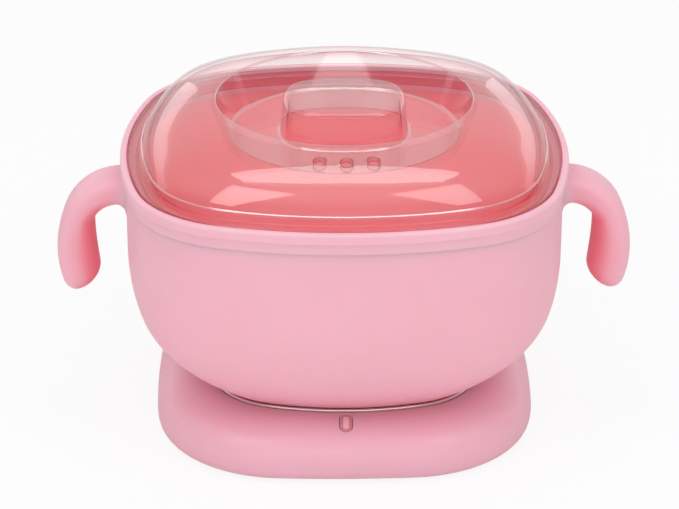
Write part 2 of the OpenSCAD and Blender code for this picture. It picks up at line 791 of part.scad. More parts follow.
module ear() {
    difference() {
        skin(ear_loops);
        ear_cores(fix_gap);
    }
}

module right_handle() {
    color(pink) ear();
}

module left_handle() {
    color(pink) mirror([1, 0, 0]) ear();
}

// ---- lid ----

well_out = well_r - well_draft;
grip_top = grip_w / 2;
grip_foot = grip_top + grip_draft;
grip_depth = 0.86;
edge = 1.2;
dome_p = 1.7;
dome_in = well_r + edge;
skirt_w = rim_in - lid_gap;

// Dome from its foot to the well's edge, at an inset from the outside, getting rounder
function dome(inset, steps, from, to) = [for (i = [0:steps])
    let (t = from + (to - from) * i / steps, c = pow(cos(t), 2 / dome_p))
    [dome_in + (dome_w / 2 - inset - dome_in) * c,
    z_dome + (dome_h - inset) * pow(sin(t), 2 / dome_p), min(1, 1.5 * c)]];

lid_profile = concat(
    [[grip_top - lid_t - 1, z_well_rim - lid_t, 1, grip_depth],
    [grip_top - lid_t, z_well_rim - lid_t - 1, 1, grip_depth],
    [grip_foot - lid_t, z_well - lid_t, 1, grip_depth],
    [well_out + lid_t - 1, z_well - lid_t, 0], [well_out + lid_t, z_well - lid_t + 1, 0],
    [well_r + lid_t - 0.4, z_well_rim - lid_t - 1, 0], [dome_in + 0.6, z_well_rim - lid_t, 0]],
    dome(lid_t, 8, 78, 0),
    [[skirt_w - lid_t, z_flange - skirt_h, 1], [skirt_w, z_flange - skirt_h, 1], [skirt_w, z_flange, 1],
    [lid_half, z_flange, 1], [lid_half, z_dome - 0.4, 1], [lid_half - 0.4, z_dome, 1]],
    dome(0, 14, 0, 90),
    [[well_r + 0.3, z_well_rim - 0.3, 0], [well_r, z_well_rim - edge, 0],
    [well_out + 0.3, z_well + edge, 0], [well_out - edge, z_well, 0],
    [grip_foot + 0.8, z_well, 1, grip_depth], [grip_foot, z_well + 0.8, 1, grip_depth]],
    quarter(grip_top - 2, 2, z_well_rim - 2, 2, 2, 3, 0, 90, grip_depth));

module lid() {
    color([0.95, 0.85, 0.87, 0.5]) difference() {
        skin(rings(lid_profile));
        for (s = [-1:1]) rotate(s * 2 * asin(vent_gap / 2 / vent_at))
            translate([0, -vent_at, z_dome]) cylinder(r = vent_r, h = dome_h + 1);
    }
}

base_shell();
base_cover();
feet();
cover_screws();
plate_seal();
heat_plate();
plate_screws();
heater_disc();
insulation_pad();
heater_strap();
strap_screws();
thermal_cutout();
temperature_sensor();
control_board();
board_screws();
relay();
capacitor();
board_chips();
key_light();
tact_switch();
tact_plunger();
key_cap();
key_ring();
inlet_socket();
inlet_pins();
mains_wires();
heater_wires();
sensor_wires();
pot_bowl();
contact_plate();
rim_ring();
left_handle();
right_handle();
lid();
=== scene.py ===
import math
import bmesh
import bpy
from mathutils import Matrix, Vector


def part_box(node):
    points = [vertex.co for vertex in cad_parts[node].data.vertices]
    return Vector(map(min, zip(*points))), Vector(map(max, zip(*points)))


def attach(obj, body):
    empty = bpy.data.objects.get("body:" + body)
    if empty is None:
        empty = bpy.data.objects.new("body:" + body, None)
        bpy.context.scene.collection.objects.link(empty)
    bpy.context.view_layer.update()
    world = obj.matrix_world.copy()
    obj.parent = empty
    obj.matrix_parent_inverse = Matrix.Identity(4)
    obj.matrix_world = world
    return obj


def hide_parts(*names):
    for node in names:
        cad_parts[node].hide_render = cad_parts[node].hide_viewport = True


# Wax warmer: soft pot with ear handles, clear lid, low heating base. Metres, Z up, front towards -Y.

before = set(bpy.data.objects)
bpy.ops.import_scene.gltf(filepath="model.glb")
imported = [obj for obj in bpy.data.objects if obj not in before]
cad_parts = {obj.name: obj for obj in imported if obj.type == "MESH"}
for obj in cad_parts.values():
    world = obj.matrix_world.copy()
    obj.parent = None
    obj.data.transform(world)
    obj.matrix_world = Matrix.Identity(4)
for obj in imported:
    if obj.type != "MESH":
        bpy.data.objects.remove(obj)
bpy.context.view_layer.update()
mm = 0.001
white = (1, 1, 1, 1)
print("stage: frame loaded")


# camera

cameraSetup = {
    "sensor": 36.0,           # mm, as the lens
    "lens": 132.05,
    "nearest": 10 * mm,
    "distance": 0.851,
    "elevation": 25.01,
    "azimuth": -0.77,
    "roll": 0.08,
    "aim": (-0.0015, 0.0, 0.0535),
}


def newObject(name, data):
    made = bpy.data.objects.new(name, data)
    bpy.context.scene.collection.objects.link(made)
    return made


def turnedTo(way):
    # the turn that points an object's own Z along a way
    return way.to_track_quat("Z", "Y").to_matrix().to_4x4()


def placeCamera(s):
    e, a = math.radians(s["elevation"]), math.radians(s["azimuth"])
    back = Vector((math.sin(a) * math.cos(e), -math.cos(a) * math.cos(e), math.sin(e)))
    camera = newObject("camera", bpy.data.cameras.new("camera"))
    camera.data.lens = s["lens"]
    camera.data.sensor_width = s["sensor"]
    camera.data.clip_start = s["nearest"]
    camera.matrix_world = (Matrix.Translation(Vector(s["aim"]) + back * s["distance"]) @ turnedTo(back)
                           @ Matrix.Rotation(math.radians(s["roll"]), 4, "Z"))
    bpy.context.scene.camera = camera


placeCamera(cameraSetup)
bpy.context.scene.view_settings.view_transform = "Standard"


# node helpers

def nodeTree(owner):
    owner.use_nodes = True
    owner.node_tree.nodes.clear()
    return owner.node_tree.nodes, owner.node_tree.links


def put(nodes, kind, sockets=None, **settings):
    # adds a node, with its settings and then the values on its sockets
    node = nodes.new("ShaderNode" + kind)
    for name, value in settings.items():
        setattr(node, name, value)
    for name, value in (sockets or {}).items():
        node.inputs[name].default_value = value
    return node


def remap(nodes, links, source, start, end, low, high, how="LINEAR"):
    # start to end becomes low to high
    ramp = put(nodes, "MapRange", {"From Min": start, "From Max": end, "To Min": low, "To Max": high},
               interpolation_type=how)
    links.new(source, ramp.inputs["Value"])
    return ramp.outputs["Result"]


def seenDirectly(nodes, links):
    # 1 for what the camera sees by itself or through a clear wall
    path = put(nodes, "LightPath")
    either = put(nodes, "Math", operation="MAXIMUM")
    links.new(path.outputs["Is Camera Ray"], either.inputs[0])
    links.new(path.outputs["Is Transmission Ray"], either.inputs[1])
    return either.outputs[0]


def blended(nodes, links, share, first, second):
    # the first shader at a share of 0, the second at 1
    mix = put(nodes, "MixShader")
    for source, socket in zip((share, first.outputs[0], second.outputs[0]), mix.inputs):
        links.new(source, socket)
    return mix.outputs[0]


# room, floor and lamps

studio = {
    "roomColor": (1.0, 0.985, 0.98, 1),
    # the brightest way, where the fall starts and ends, and the light at both ends
    "mattLight": ((0.0, -0.94, 0.34), -0.3, 0.9, 0.35, 0.70),
    "mirroredLight": ((0.0, 0.5, 0.866), 0.15, 0.70, 0.34, 1.05),
    "floorSize": 6.0,
    "floorColor": (0.93, 0.92, 0.92, 1),
    "floorGlow": 0.88,        # how much of the floor a camera sees as plain white
    "lamps": {
        # name: (x, y, z), width, height, watts
        "softboxLeft": ((-0.62, -0.58, 1.10), 0.46, 0.80, 2.5),
        "softboxRight": ((0.62, -0.58, 1.10), 0.46, 0.80, 2.1),
        "overhead": ((0.0, 0.12, 1.25), 0.80, 0.52, 3.3),
        "front": ((0.0, -1.25, 0.50), 1.5, 0.24, 2.4),
        "stripLeft": ((-0.80, 0.85, 0.30), 1.3, 0.26, 0.8),
        "stripRight": ((0.80, 0.85, 0.30), 1.3, 0.26, 0.8),
    },
    "lampAim": (0.0, 0.0, 0.07),
}


def buildWorld(s):
    # a white room, seen itself as plain white; matt faces and mirrored rays each get a fall of light
    world = bpy.data.worlds.new("whiteRoom")
    bpy.context.scene.world = world
    nodes, links = nodeTree(world)
    place = put(nodes, "TexCoord")

    def fall(way, dimUntil, brightFrom, dim, bright):
        along = put(nodes, "VectorMath", {1: way}, operation="DOT_PRODUCT")
        links.new(place.outputs["Generated"], along.inputs[0])
        return remap(nodes, links, along.outputs["Value"], dimUntil, brightFrom, dim, bright, "SMOOTHSTEP")

    path = put(nodes, "LightPath")
    level = put(nodes, "Mix", data_type="FLOAT")
    links.new(path.outputs["Is Glossy Ray"], level.inputs["Factor"])
    links.new(fall(*s["mattLight"]), level.inputs["A"])
    links.new(fall(*s["mirroredLight"]), level.inputs["B"])
    room = put(nodes, "Background", {"Color": s["roomColor"]})
    links.new(level.outputs["Result"], room.inputs["Strength"])
    seen = put(nodes, "Background", {"Color": white, "Strength": 1.0})
    out = put(nodes, "OutputWorld")
    links.new(blended(nodes, links, seenDirectly(nodes, links), room, seen), out.inputs["Surface"])


def buildFloor(s):
    bm = bmesh.new()
    bmesh.ops.create_grid(bm, x_segments=1, y_segments=1, size=s["floorSize"] / 2)
    mesh = bpy.data.meshes.new("floor")
    bm.to_mesh(mesh)
    bm.free()
    material = bpy.data.materials.new("palePaper")
    nodes, links = nodeTree(material)
    paper = put(nodes, "BsdfDiffuse", {"Color": s["floorColor"]})
    glow = put(nodes, "Emission", {"Color": white, "Strength": 1.0})
    share = put(nodes, "Math", {1: s["floorGlow"]}, operation="MULTIPLY")
    links.new(seenDirectly(nodes, links), share.inputs[0])
    out = put(nodes, "OutputMaterial")
    links.new(blended(nodes, links, share.outputs[0], paper, glow), out.inputs["Surface"])
    mesh.materials.append(material)
    floor = newObject("floor", mesh)


def buildLamps(s):
    for name, (place, width, height, power) in s["lamps"].items():
        lamp = bpy.data.lights.new(name, "AREA")
        lamp.shape = "RECTANGLE"
        lamp.size = width
        lamp.size_y = height
        lamp.energy = power
        away = Vector(place) - Vector(s["lampAim"])
        holder = newObject(name, lamp)
        holder.matrix_world = Matrix.Translation(place) @ turnedTo(away)


buildWorld(studio)
buildFloor(studio)
buildLamps(studio)
print("stage: camera, room and lamps")


# finishes: helpers

def principled(name):
    material = bpy.data.materials.new(name)
    nodes, links = nodeTree(material)
    shader = put(nodes, "BsdfPrincipled")
    links.new(shader.outputs[0], put(nodes, "OutputMaterial").inputs["Surface"])
    return material, nodes, links, shader


def objectNoise(nodes, links, scale, detail, stretch=None):
    # cloudy pattern in the piece's own place, drawn out along one way if stretched
    way = put(nodes, "TexCoord").outputs["Object"]
    if stretch:
        turn = put(nodes, "Mapping", {"Scale": stretch})
        links.new(way, turn.inputs["Vector"])
        way = turn.outputs["Vector"]
    noise = put(nodes, "TexNoise", {"Scale": scale, "Detail": detail})
    links.new(way, noise.inputs["Vector"])
    return noise.outputs["Fac"]


noiseMiddle = (0.3, 0.7)      # the range that most of a noise lies in


def unevenGloss(nodes, links, noise, roughness, shares, shader):
    # roughness that drifts between two shares of its middle value
    low, high = roughness * shares[0], roughness * shares[1]
    links.new(remap(nodes, links, noise, *noiseMiddle, low, high), shader.inputs["Roughness"])


def grained(nodes, links, noise, strength, depth, shader):
    bump = put(nodes, "Bump", {"Strength": strength, "Distance": depth})
    links.new(noise, bump.inputs["Height"])
    links.new(bump.outputs["Normal"], shader.inputs["Normal"])


def colorBetween(nodes, links, share, first, second):
    # from the first colour, or what is linked as the first, to the second
    mix = put(nodes, "Mix", data_type="RGBA")
    if isinstance(first, tuple):
        mix.inputs["A"].default_value = (*first, 1)
    else:
        links.new(first, mix.inputs["A"])
    mix.inputs["B"].default_value = (*second, 1)
    links.new(share, mix.inputs["Factor"])
    return mix.outputs["Result"]


# finishes: moulded plastic and rubber

mouldedLook = {
    "cloudScale": 34.0,
    "cloudDetail": 3.0,
    "glossScale": 90.0,
    "glossShares": (0.9, 1.12),
    "grainDetail": 2.0,
    "grainStrength": 0.35,
    "innerShadeFrom": 0.02,        # where the painted shade on inner faces starts
    "innerShadeFull": -0.07,       # and where it is full
    "bleed": (1.0, 0.22, 0.22),   # how far red, green and blue light run inside soft rubber
    "bleedDepth": 14 * mm,
}


def facingInwards(nodes, links, s):
    # 1 on faces at the sides that look back towards the middle, 0 on those that look out: the mask of the
    # painted shade
    across = put(nodes, "VectorMath", {1: (1.0, 0.0, 0.0)}, operation="MULTIPLY")
    outward = put(nodes, "VectorMath", operation="DOT_PRODUCT")
    links.new(put(nodes, "TexCoord").outputs["Object"], across.inputs[0])
    links.new(across.outputs["Vector"], outward.inputs[0])
    links.new(put(nodes, "NewGeometry").outputs["Normal"], outward.inputs[1])
    return remap(nodes, links, outward.outputs["Value"], s["innerShadeFrom"], s["innerShadeFull"], 0.0, 1.0,
                 "SMOOTHSTEP")


def moulded(name, color, shade, roughness, grain, depth, soft=0.0, gloss=0.5, inner=None):
    # faint cloudy colour, uneven gloss and a fine grain (depth in mm), with a deeper colour painted on
    # inner faces as shade
    s = mouldedLook
    material, nodes, links, shader = principled(name)
    cloud = objectNoise(nodes, links, s["cloudScale"], s["cloudDetail"])
    body = colorBetween(nodes, links, remap(nodes, links, cloud, *noiseMiddle, 0.0, 1.0), color, shade)
    if inner:
        # painted shade: faces that look towards the middle take the deeper colour
        body = colorBetween(nodes, links, facingInwards(nodes, links, s), body, inner)
    links.new(body, shader.inputs["Base Color"])
    drift = objectNoise(nodes, links, s["glossScale"], s["cloudDetail"])
    unevenGloss(nodes, links, drift, roughness, s["glossShares"], shader)
    fine = objectNoise(nodes, links, grain, s["grainDetail"])
    grained(nodes, links, fine, s["grainStrength"], depth * mm, shader)
    shader.inputs["Specular IOR Level"].default_value = gloss
    if soft:
        shader.inputs["Subsurface Weight"].default_value = soft
        shader.inputs["Subsurface Radius"].default_value = s["bleed"]
        shader.inputs["Subsurface Scale"].default_value = s["bleedDepth"]
    return material


# finishes: metal

metalLook = {
    "detail": 4.0,
    "glossShares": (0.7, 1.3),
    "brushStrength": 0.15,
    "brushDepth": 0.04 * mm,
}


def metal(name, color, roughness, grain, stretch=(1, 1, 1)):
    # bare metal with a fine uneven finish, drawn out into brushing where it is stretched
    s = metalLook
    material, nodes, links, shader = principled(name)
    shader.inputs["Metallic"].default_value = 1.0
    shader.inputs["Base Color"].default_value = (*color, 1)
    brushing = objectNoise(nodes, links, grain, s["detail"], stretch)
    unevenGloss(nodes, links, brushing, roughness, s["glossShares"], shader)
    grained(nodes, links, brushing, s["brushStrength"], s["brushDepth"], shader)
    return material


# finishes: clear plastic

lidFinish = {
    "clear": (1.0, 0.985, 0.985),
    "edge": (0.90, 0.66, 0.70),   # colour of the wall seen along its length
    "edgePower": 4.0,
    "mirror": 0.075,          # share mirrored straight on
    "mirrorPower": 5.0,
    "leaving": 0.3,           # how much of that stays on the wall's far side
    "roughness": 0.03,
    "glossScale": 60.0,
    "glossDetail": 3.0,
    "glossShares": (0.6, 1.4),
    "waveScale": 22.0,
    "waveDetail": 1.0,
    "waveStrength": 0.25,
    "waveDepth": 0.4 * mm,
}
lidFinishes = {
    # walls, small fillets, foot and vent walls, the well's underside, flange edge and vent lips
    "lidClear": lidFinish,
    # lidCorner, lidFoot and lidCut: deeper tints, partly from the longer path through the plastic, partly
    # painted dark lines of refraction and of shade in gaps
    "lidCorner": {**lidFinish, "clear": (0.92, 0.66, 0.70), "edge": (0.60, 0.20, 0.24), "edgePower": 1.4,
                  "mirror": 0.26, "roughness": 0.08},
    "lidFoot": {**lidFinish, "clear": (0.97, 0.80, 0.83), "edge": (0.75, 0.34, 0.38), "edgePower": 2.0},
    "lidUnder": {**lidFinish, "mirror": 0.012},
    "lidCut": {**lidFinish, "clear": (0.88, 0.52, 0.56), "edge": (0.42, 0.08, 0.12), "edgePower": 1.2,
               "roughness": 0.20},
}
lidSlots = {name: i for i, name in enumerate(lidFinishes)}


def clearPlastic(name, s):
    # thin clear wall: mirrors more and takes more colour the flatter it is seen
    material = bpy.data.materials.new(name)
    nodes, links = nodeTree(material)
    flatness = put(nodes, "LayerWeight", {"Blend": 0.5})

    def raised(power, scale, start):
        lift = put(nodes, "Math", {1: power}, operation="POWER")
        fit = put(nodes, "Math", {1: scale, 2: start}, operation="MULTIPLY_ADD")
        links.new(flatness.outputs["Facing"], lift.inputs[0])
        links.new(lift.outputs[0], fit.inputs[0])
        return fit.outputs[0]

    passing = put(nodes, "BsdfTransparent")
    tint = colorBetween(nodes, links, raised(s["edgePower"], 1.0, 0.0), s["clear"], s["edge"])
    links.new(tint, passing.inputs["Color"])
    gloss = put(nodes, "BsdfGlossy", {"Color": white})
    drift = objectNoise(nodes, links, s["glossScale"], s["glossDetail"])
    unevenGloss(nodes, links, drift, s["roughness"], s["glossShares"], gloss)
    wave = objectNoise(nodes, links, s["waveScale"], s["waveDetail"])
    grained(nodes, links, wave, s["waveStrength"], s["waveDepth"], gloss)
    farSide = put(nodes, "NewGeometry").outputs["Backfacing"]
    share = put(nodes, "Math", operation="MULTIPLY")
    links.new(raised(s["mirrorPower"], 1.0 - s["mirror"], s["mirror"]), share.inputs[0])
    links.new(remap(nodes, links, farSide, 0.0, 1.0, 1.0, s["leaving"]), share.inputs[1])
    out = put(nodes, "OutputMaterial")
    links.new(blended(nodes, links, share.outputs[0], passing, gloss), out.inputs["Surface"])
    return material


finish = {
    # name, colour, cloudier colour, roughness, grain's scale and its depth in mm
    "siliconePink": moulded("siliconePink", (0.915, 0.495, 0.585), (0.890, 0.475, 0.561), 0.52,
                            900, 0.03, soft=0.5, gloss=0.4),
    # earPink's inner colour is painted shade and bounce light on the faces that look towards the pot
    "earPink": moulded("earPink", (0.905, 0.490, 0.580), (0.880, 0.470, 0.556), 0.52,
                       900, 0.03, soft=0.4, gloss=0.4, inner=(0.930, 0.265, 0.325)),
    # the pot's inside is the same silicone, deeper in colour as painted shade and bounce light of the
    # hollow
    "siliconeInsideShade": moulded("siliconeInsideShade", (0.980, 0.370, 0.400), (0.965, 0.356, 0.385), 0.50,
                              900, 0.03, soft=0.3, gloss=0.4),
    "rimPink": moulded("rimPink", (0.945, 0.500, 0.590), (0.930, 0.487, 0.573), 0.40,
                       1500, 0.02, soft=0.3),
    "housingPink": moulded("housingPink", (0.950, 0.470, 0.565), (0.932, 0.454, 0.547), 0.36,
                           2600, 0.02, soft=0.3),
    "keyPink": moulded("keyPink", (0.920, 0.560, 0.610), (0.900, 0.545, 0.593), 0.45, 2600, 0.02),
    "duskyRose": moulded("duskyRose", (0.640, 0.270, 0.310), (0.620, 0.258, 0.297), 0.40, 1800, 0.02),
    "greyRubber": moulded("greyRubber", (0.30, 0.20, 0.21), (0.27, 0.18, 0.19), 0.75, 1400, 0.05),
    "blackPlastic": moulded("blackPlastic", (0.03, 0.03, 0.032), (0.024, 0.024, 0.026), 0.42, 1800, 0.03),
    "boardGreen": moulded("boardGreen", (0.03, 0.17, 0.075), (0.025, 0.14, 0.065), 0.32, 700, 0.02),
    "relayBlue": moulded("relayBlue", (0.05, 0.13, 0.40), (0.045, 0.12, 0.37), 0.30, 1200, 0.02),
    "filmYellow": moulded("filmYellow", (0.62, 0.42, 0.08), (0.58, 0.39, 0.07), 0.30, 1000, 0.02),
    "ceramic": moulded("ceramic", (0.80, 0.78, 0.72), (0.76, 0.74, 0.68), 0.35, 900, 0.02),
    "mica": moulded("mica", (0.42, 0.36, 0.25), (0.34, 0.28, 0.19), 0.45, 500, 0.08),
    "fibre": moulded("fibre", (0.78, 0.77, 0.72), (0.70, 0.69, 0.64), 0.90, 800, 0.20),
    "brownCable": moulded("brownCable", (0.13, 0.06, 0.03), (0.11, 0.05, 0.025), 0.40, 900, 0.02),
    "paleCable": moulded("paleCable", (0.72, 0.68, 0.60), (0.68, 0.64, 0.56), 0.60, 1600, 0.06),
    "redCable": moulded("redCable", (0.52, 0.04, 0.04), (0.46, 0.035, 0.035), 0.40, 900, 0.02),
    "plateMetal": metal("plateMetal", (0.64, 0.62, 0.62), 0.30, 260, (1, 14, 1)),
    "polished": metal("polished", (0.96, 0.90, 0.90), 0.14, 90),
    "screwSteel": metal("screwSteel", (0.66, 0.65, 0.64), 0.30, 900),
    "pinBrass": metal("pinBrass", (0.80, 0.67, 0.40), 0.22, 900),
    **{name: clearPlastic(name, look) for name, look in lidFinishes.items()},
}
print("stage: finishes")


# shaping helpers

planShape = {
    "pot": (2.0, 0.54),       # radius of each side's arc and corner, in half widths
    "base": (6.0, 0.67),
}
stepsAround = 192
longestCut = 0.49             # share of a side that one corner's arc may take
sameSpot = 0.0001 * mm        # points closer than this are merged
upright = 0.2                 # a face whose normal rises less than this stands upright
slanted = 0.5                 # and less than this, it is no flat top or underside


def reachOf(shape, angle):
    # distance from the middle to a rounded square's outline, for a half width of 1
    side, corner = shape
    quarter = angle % (math.pi / 2)
    q = math.pi / 2 - quarter if quarter < math.pi / 4 else quarter
    mid = 1 - side
    cornerMid = (mid + math.sqrt(2 * (side - corner) ** 2 - mid * mid)) / 2
    far = math.sin(q) * mid + math.sqrt((math.sin(q) * mid) ** 2 - mid ** 2 + side ** 2)
    if math.atan2(far * math.sin(q) - mid, far * math.cos(q)) < math.atan2(cornerMid - mid, cornerMid):
        along = (math.cos(q) + math.sin(q)) * cornerMid
        far = along + math.sqrt(along * along - 2 * cornerMid ** 2 + corner ** 2)
    return far


def rounded(corners, steps=6):
    # a profile of (half width, height, radius, square, depth) with each corner turned to an arc;
    # square is 0 for a round plan and 1 for a rounded square, depth squeezes the plan front to back
    path = []
    for i, c in enumerate(corners):
        c = tuple(c) + (0.0, 1.0, 1.0)[len(c) - 2:]
        here = Vector(c[:2])
        if c[2] <= 0 or i in (0, len(corners) - 1):
            path.append((here.x, here.y, c[3], c[4]))
            continue
        before = Vector(corners[i - 1][:2]) - here
        after = Vector(corners[i + 1][:2]) - here
        half = before.angle(after) / 2
        cut = min(c[2] / math.tan(half), longestCut * before.length, longestCut * after.length)
        radius = cut * math.tan(half)
        start, end = here + before.normalized() * cut, here + after.normalized() * cut
        centre = here + (before.normalized() + after.normalized()).normalized() * (radius / math.sin(half))
        a, b = start - centre, end - centre
        turn = a.angle_signed(b)
        for k in range(steps + 1):
            point = centre + Matrix.Rotation(-turn * k / steps, 2) @ a
            path.append((point.x, point.y, c[3], c[4]))
    return path


def quarterCurve(w0, dw, z0, dz, power, steps, start, end):
    # part of a superellipse from (w0 + dw, z0) to (w0, z0 + dz)
    path = []
    for k in range(steps + 1):
        t = math.radians(start + (end - start) * k / steps)
        across, up = max(math.cos(t), 0.0) ** (2 / power), max(math.sin(t), 0.0) ** (2 / power)
        path.append((w0 + dw * across, z0 + dz * up, 1.0, 1.0))
    return path


def spun(profile, shape, closed=False):
    # spins a profile round Z, then lets the round plan out to a rounded square
    bm = bmesh.new()
    squareLayer = bm.verts.layers.float.new("square")
    depthLayer = bm.verts.layers.float.new("depth")
    verts = []
    for w, z, square, depth in profile:
        v = bm.verts.new((w, 0, z))
        v[squareLayer] = square
        v[depthLayer] = depth
        verts.append(v)
    edges = [bm.edges.new(pair) for pair in zip(verts, verts[1:])]
    if closed:
        edges.append(bm.edges.new((verts[-1], verts[0])))
    bmesh.ops.spin(bm, geom=verts + edges, cent=(0, 0, 0), axis=(0, 0, 1), angle=2 * math.pi,
                   steps=stepsAround, use_merge=True, use_duplicate=False)
    bmesh.ops.remove_doubles(bm, verts=bm.verts, dist=sameSpot)
    for v in bm.verts:
        out = 1 + v[squareLayer] * (reachOf(shape, math.atan2(v.co.y, v.co.x)) - 1)
        v.co.x *= out
        v.co.y *= out * v[depthLayer]
    bmesh.ops.recalc_face_normals(bm, faces=bm.faces)
    return bm


def smoothUnder(mesh, degrees):
    # smooth shading, but a sharp edge wherever the surface turns by more than the degrees
    mesh.shade_smooth()
    mesh.set_sharp_from_angle(angle=math.radians(degrees))


def asPiece(name, bm, material, body, node, degrees):
    # a finished piece that rides on a body and stands for a node
    mesh = bpy.data.meshes.new(name)
    bm.to_mesh(mesh)
    bm.free()
    smoothUnder(mesh, degrees)
    mesh.materials.append(material)
    piece = newObject(name, mesh)
    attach(piece, body)
    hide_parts(node)
    return piece


def cutAway(piece, cutters):
    # takes each cutter's shape out of a piece and bakes the result into its mesh
    for cutter in cutters:
        tool = newObject("cutter", bpy.data.meshes.new("cutter"))
        cutter.to_mesh(tool.data)
        cutter.free()
        step = piece.modifiers.new("cut", "BOOLEAN")
        step.operation = "DIFFERENCE"
        step.solver = "EXACT"
        step.object = tool
        view = bpy.context.evaluated_depsgraph_get()
        made = bpy.data.meshes.new_from_object(piece.evaluated_get(view))
        piece.modifiers.clear()
        old, piece.data = piece.data, made
        bpy.data.meshes.remove(old)
        bpy.data.objects.remove(tool)


def ovalPrism(width, length, centre, low, high, steps=16):
    # an upright prism with half-round ends, long way front to back
    bm = bmesh.new()
    ring = []
    for side in (1, -1):
        y = centre[1] + side * (length - width) / 2
        for k in range(steps + 1):
            t = math.pi * k / steps + (0 if side > 0 else math.pi)
            x = centre[0] + width / 2 * math.cos(t)
            ring.append(bm.verts.new((x, y + width / 2 * math.sin(t), low)))
    face = bm.faces.new(ring)
    up = bmesh.ops.extrude_face_region(bm, geom=[face])["geom"]
    top = [v for v in up if isinstance(v, bmesh.types.BMVert)]
    bmesh.ops.translate(bm, verts=top, vec=(0, 0, high - low))
    bmesh.ops.recalc_face_normals(bm, faces=bm.faces)
    return bm


def boxOf(low, high):
    bm = bmesh.new()
    bmesh.ops.create_cube(bm, size=1.0)
    bmesh.ops.scale(bm, verts=bm.verts, vec=[h - l for l, h in zip(low, high)])
    bmesh.ops.translate(bm, verts=bm.verts, vec=[(h + l) / 2 for l, h in zip(low, high)])
    return bm


def addPost(bm, radius, x, y, low, high):
    # an upright round post, 32 faces round
    bmesh.ops.create_cone(bm, cap_ends=True, segments=32, radius1=radius, radius2=radius, depth=high - low,
                          matrix=Matrix.Translation((x, y, (high + low) / 2)))


# base housing

shellLow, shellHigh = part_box("base_shell")
plateLow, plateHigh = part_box("heat_plate")
keyLow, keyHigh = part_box("key_ring")
inletLow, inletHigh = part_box("inlet_socket")

housing = {
    "topHalf": 48.6 * mm,
    "middle": 7.0 * mm,       # height where the base is widest
    "tuck": 2.6 * mm,
    "shoulder": 2.5,          # how square the shoulder's curve is
    "wall": 2.2 * mm,
    "innerIn": 2.4,           # the inner shoulder's place, in walls in from the side and down from the top
    "innerDown": 2.2,
    "innerTuck": 3.5 * mm,
    "gapRound": 0.15 * mm,    # gap between the housing and the metal plate
    "lipRound": 0.35 * mm,
    "shoulderIn": 4.0 * mm,   # from here to the mouth the plan turns from the base's to the pot's
    "shoulderUp": 2.0 * mm,
    "keyGap": 0.2 * mm,
    "keyCutOver": 5.0 * mm,
    "inletGap": 0.15 * mm,
    "inletCutIn": 8.0 * mm,
    "inletCutOut": 4.0 * mm,
    "smooth": 50,
}


def followMouth(s, bm, half, mouth):
    # the round-cornered mouth follows the pot's plan, the outside the base's
    start = half - s["shoulderIn"]
    for v in bm.verts:
        a = math.atan2(v.co.y, v.co.x)
        base, pot = reachOf(planShape["base"], a), reachOf(planShape["pot"], a)
        share = min(max((start - math.hypot(v.co.x, v.co.y) / base) / (start - mouth), 0.0), 1.0)
        if v.co.z > s["middle"] + s["shoulderUp"]:
            k = 1 + share * (pot / base - 1)
            v.co.x *= k
            v.co.y *= k


def buildHousing(s):
    half = shellHigh[0]
    low, top = shellLow[2], shellHigh[2]
    mouth = plateHigh[0] + s["gapRound"]
    lip = s["lipRound"]
    skirt = quarterCurve(half - s["tuck"], s["tuck"], s["middle"], low - s["middle"],
                         power=2, steps=10, start=90, end=0)
    shoulder = quarterCurve(s["topHalf"], half - s["topHalf"], s["middle"], top - s["middle"],
                            power=s["shoulder"], steps=30, start=3, end=90)
    edge = []
    for a in range(90, -1, -15):
        across, up = math.cos(math.radians(a)), math.sin(math.radians(a))
        edge.append((mouth + lip * (1 - across), top - lip * (1 - up), 1.0, 1.0))
    inner = [(mouth, top - s["wall"], 1.0, 1.0),
             (half - s["innerIn"] * s["wall"], top - s["innerDown"] * s["wall"], 1.0, 1.0),
             (half - s["wall"], s["middle"], 1.0, 1.0),
             (half - s["innerTuck"], low, 1.0, 1.0)]
    bm = spun(skirt + shoulder + edge + inner, planShape["base"], closed=True)
    followMouth(s, bm, half, mouth)
    piece = asPiece("baseHousing", bm, finish["housingPink"], "base", "base_shell", s["smooth"])
    gap = s["keyGap"]
    keyMiddle = ((keyLow[0] + keyHigh[0]) / 2, (keyLow[1] + keyHigh[1]) / 2)
    key = ovalPrism(keyHigh[0] - keyLow[0] + 2 * gap, keyHigh[1] - keyLow[1] + 2 * gap, keyMiddle,
                    s["middle"], top + s["keyCutOver"])
    gap = s["inletGap"]
    socket = boxOf((inletLow[0] - gap, inletHigh[1] - s["inletCutIn"], inletLow[2] - gap),
                   (inletHigh[0] + gap, inletHigh[1] + s["inletCutOut"], inletHigh[2] + gap))
    cutAway(piece, [key, socket])
    smoothUnder(piece.data, s["smooth"])


buildHousing(housing)
print("stage: base housing")


# hot plate with its raised edge

hotPlate = {
    "thick": 1.6 * mm,
    "beadHigh": 0.8 * mm,
    "beadWide": 1.0 * mm,
    "beadRound": 0.48 * mm,
    "beadSlope": 0.3 * mm,
    "edgeRound": 0.4 * mm,
    "bossRadius": 3.4 * mm,
    "bossSink": 0.3 * mm,     # how far a boss runs up into the plate
    "screwHead": 2.7 * mm,
    "polishFrom": 0.1 * mm,   # the raised edge is polished above this
    "smooth": 40,
}


